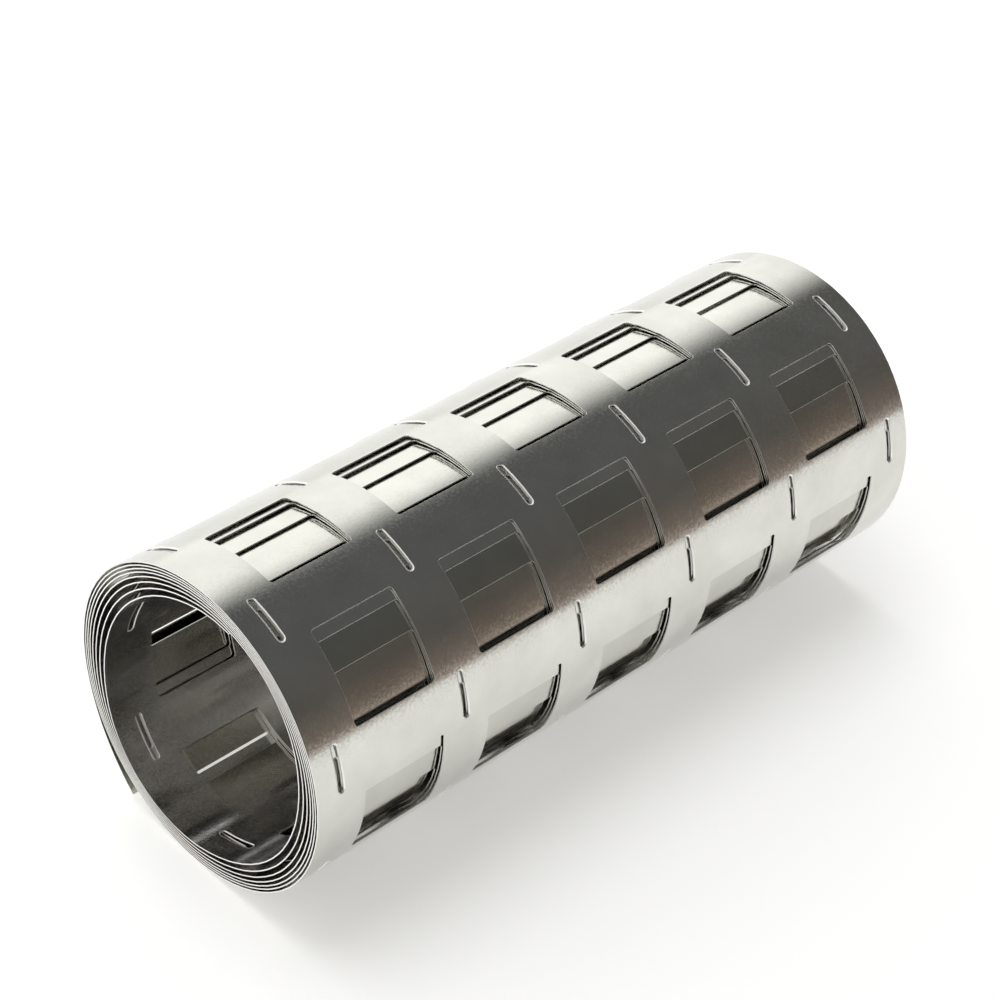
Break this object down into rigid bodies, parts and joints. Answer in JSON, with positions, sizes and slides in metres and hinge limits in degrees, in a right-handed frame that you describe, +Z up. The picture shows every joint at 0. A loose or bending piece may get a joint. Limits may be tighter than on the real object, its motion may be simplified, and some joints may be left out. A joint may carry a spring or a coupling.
{
  "type": "nickel strip roll",
  "caption": "Loose roll of punched nickel strip: a grid of rails and rungs with a weld slot in every crossing, for joining cylindrical cells in parallel and series.",
  "frame": {"origin": "on the ground under the middle of the roll's box, lying on its side as in the picture", "axes": "+X along the roll's axis (the long way), from the end seen in the picture to the far end; -Y towards the front; +Z up"},
  "size_m": [0.1088, 0.045, 0.0453],
  "materials": {
    "nickel": "satin rolled nickel, bare metal"
  },
  "bodies": {
    "root": {"nickel_strip": "nickel"}
  },
  "joints": []
}
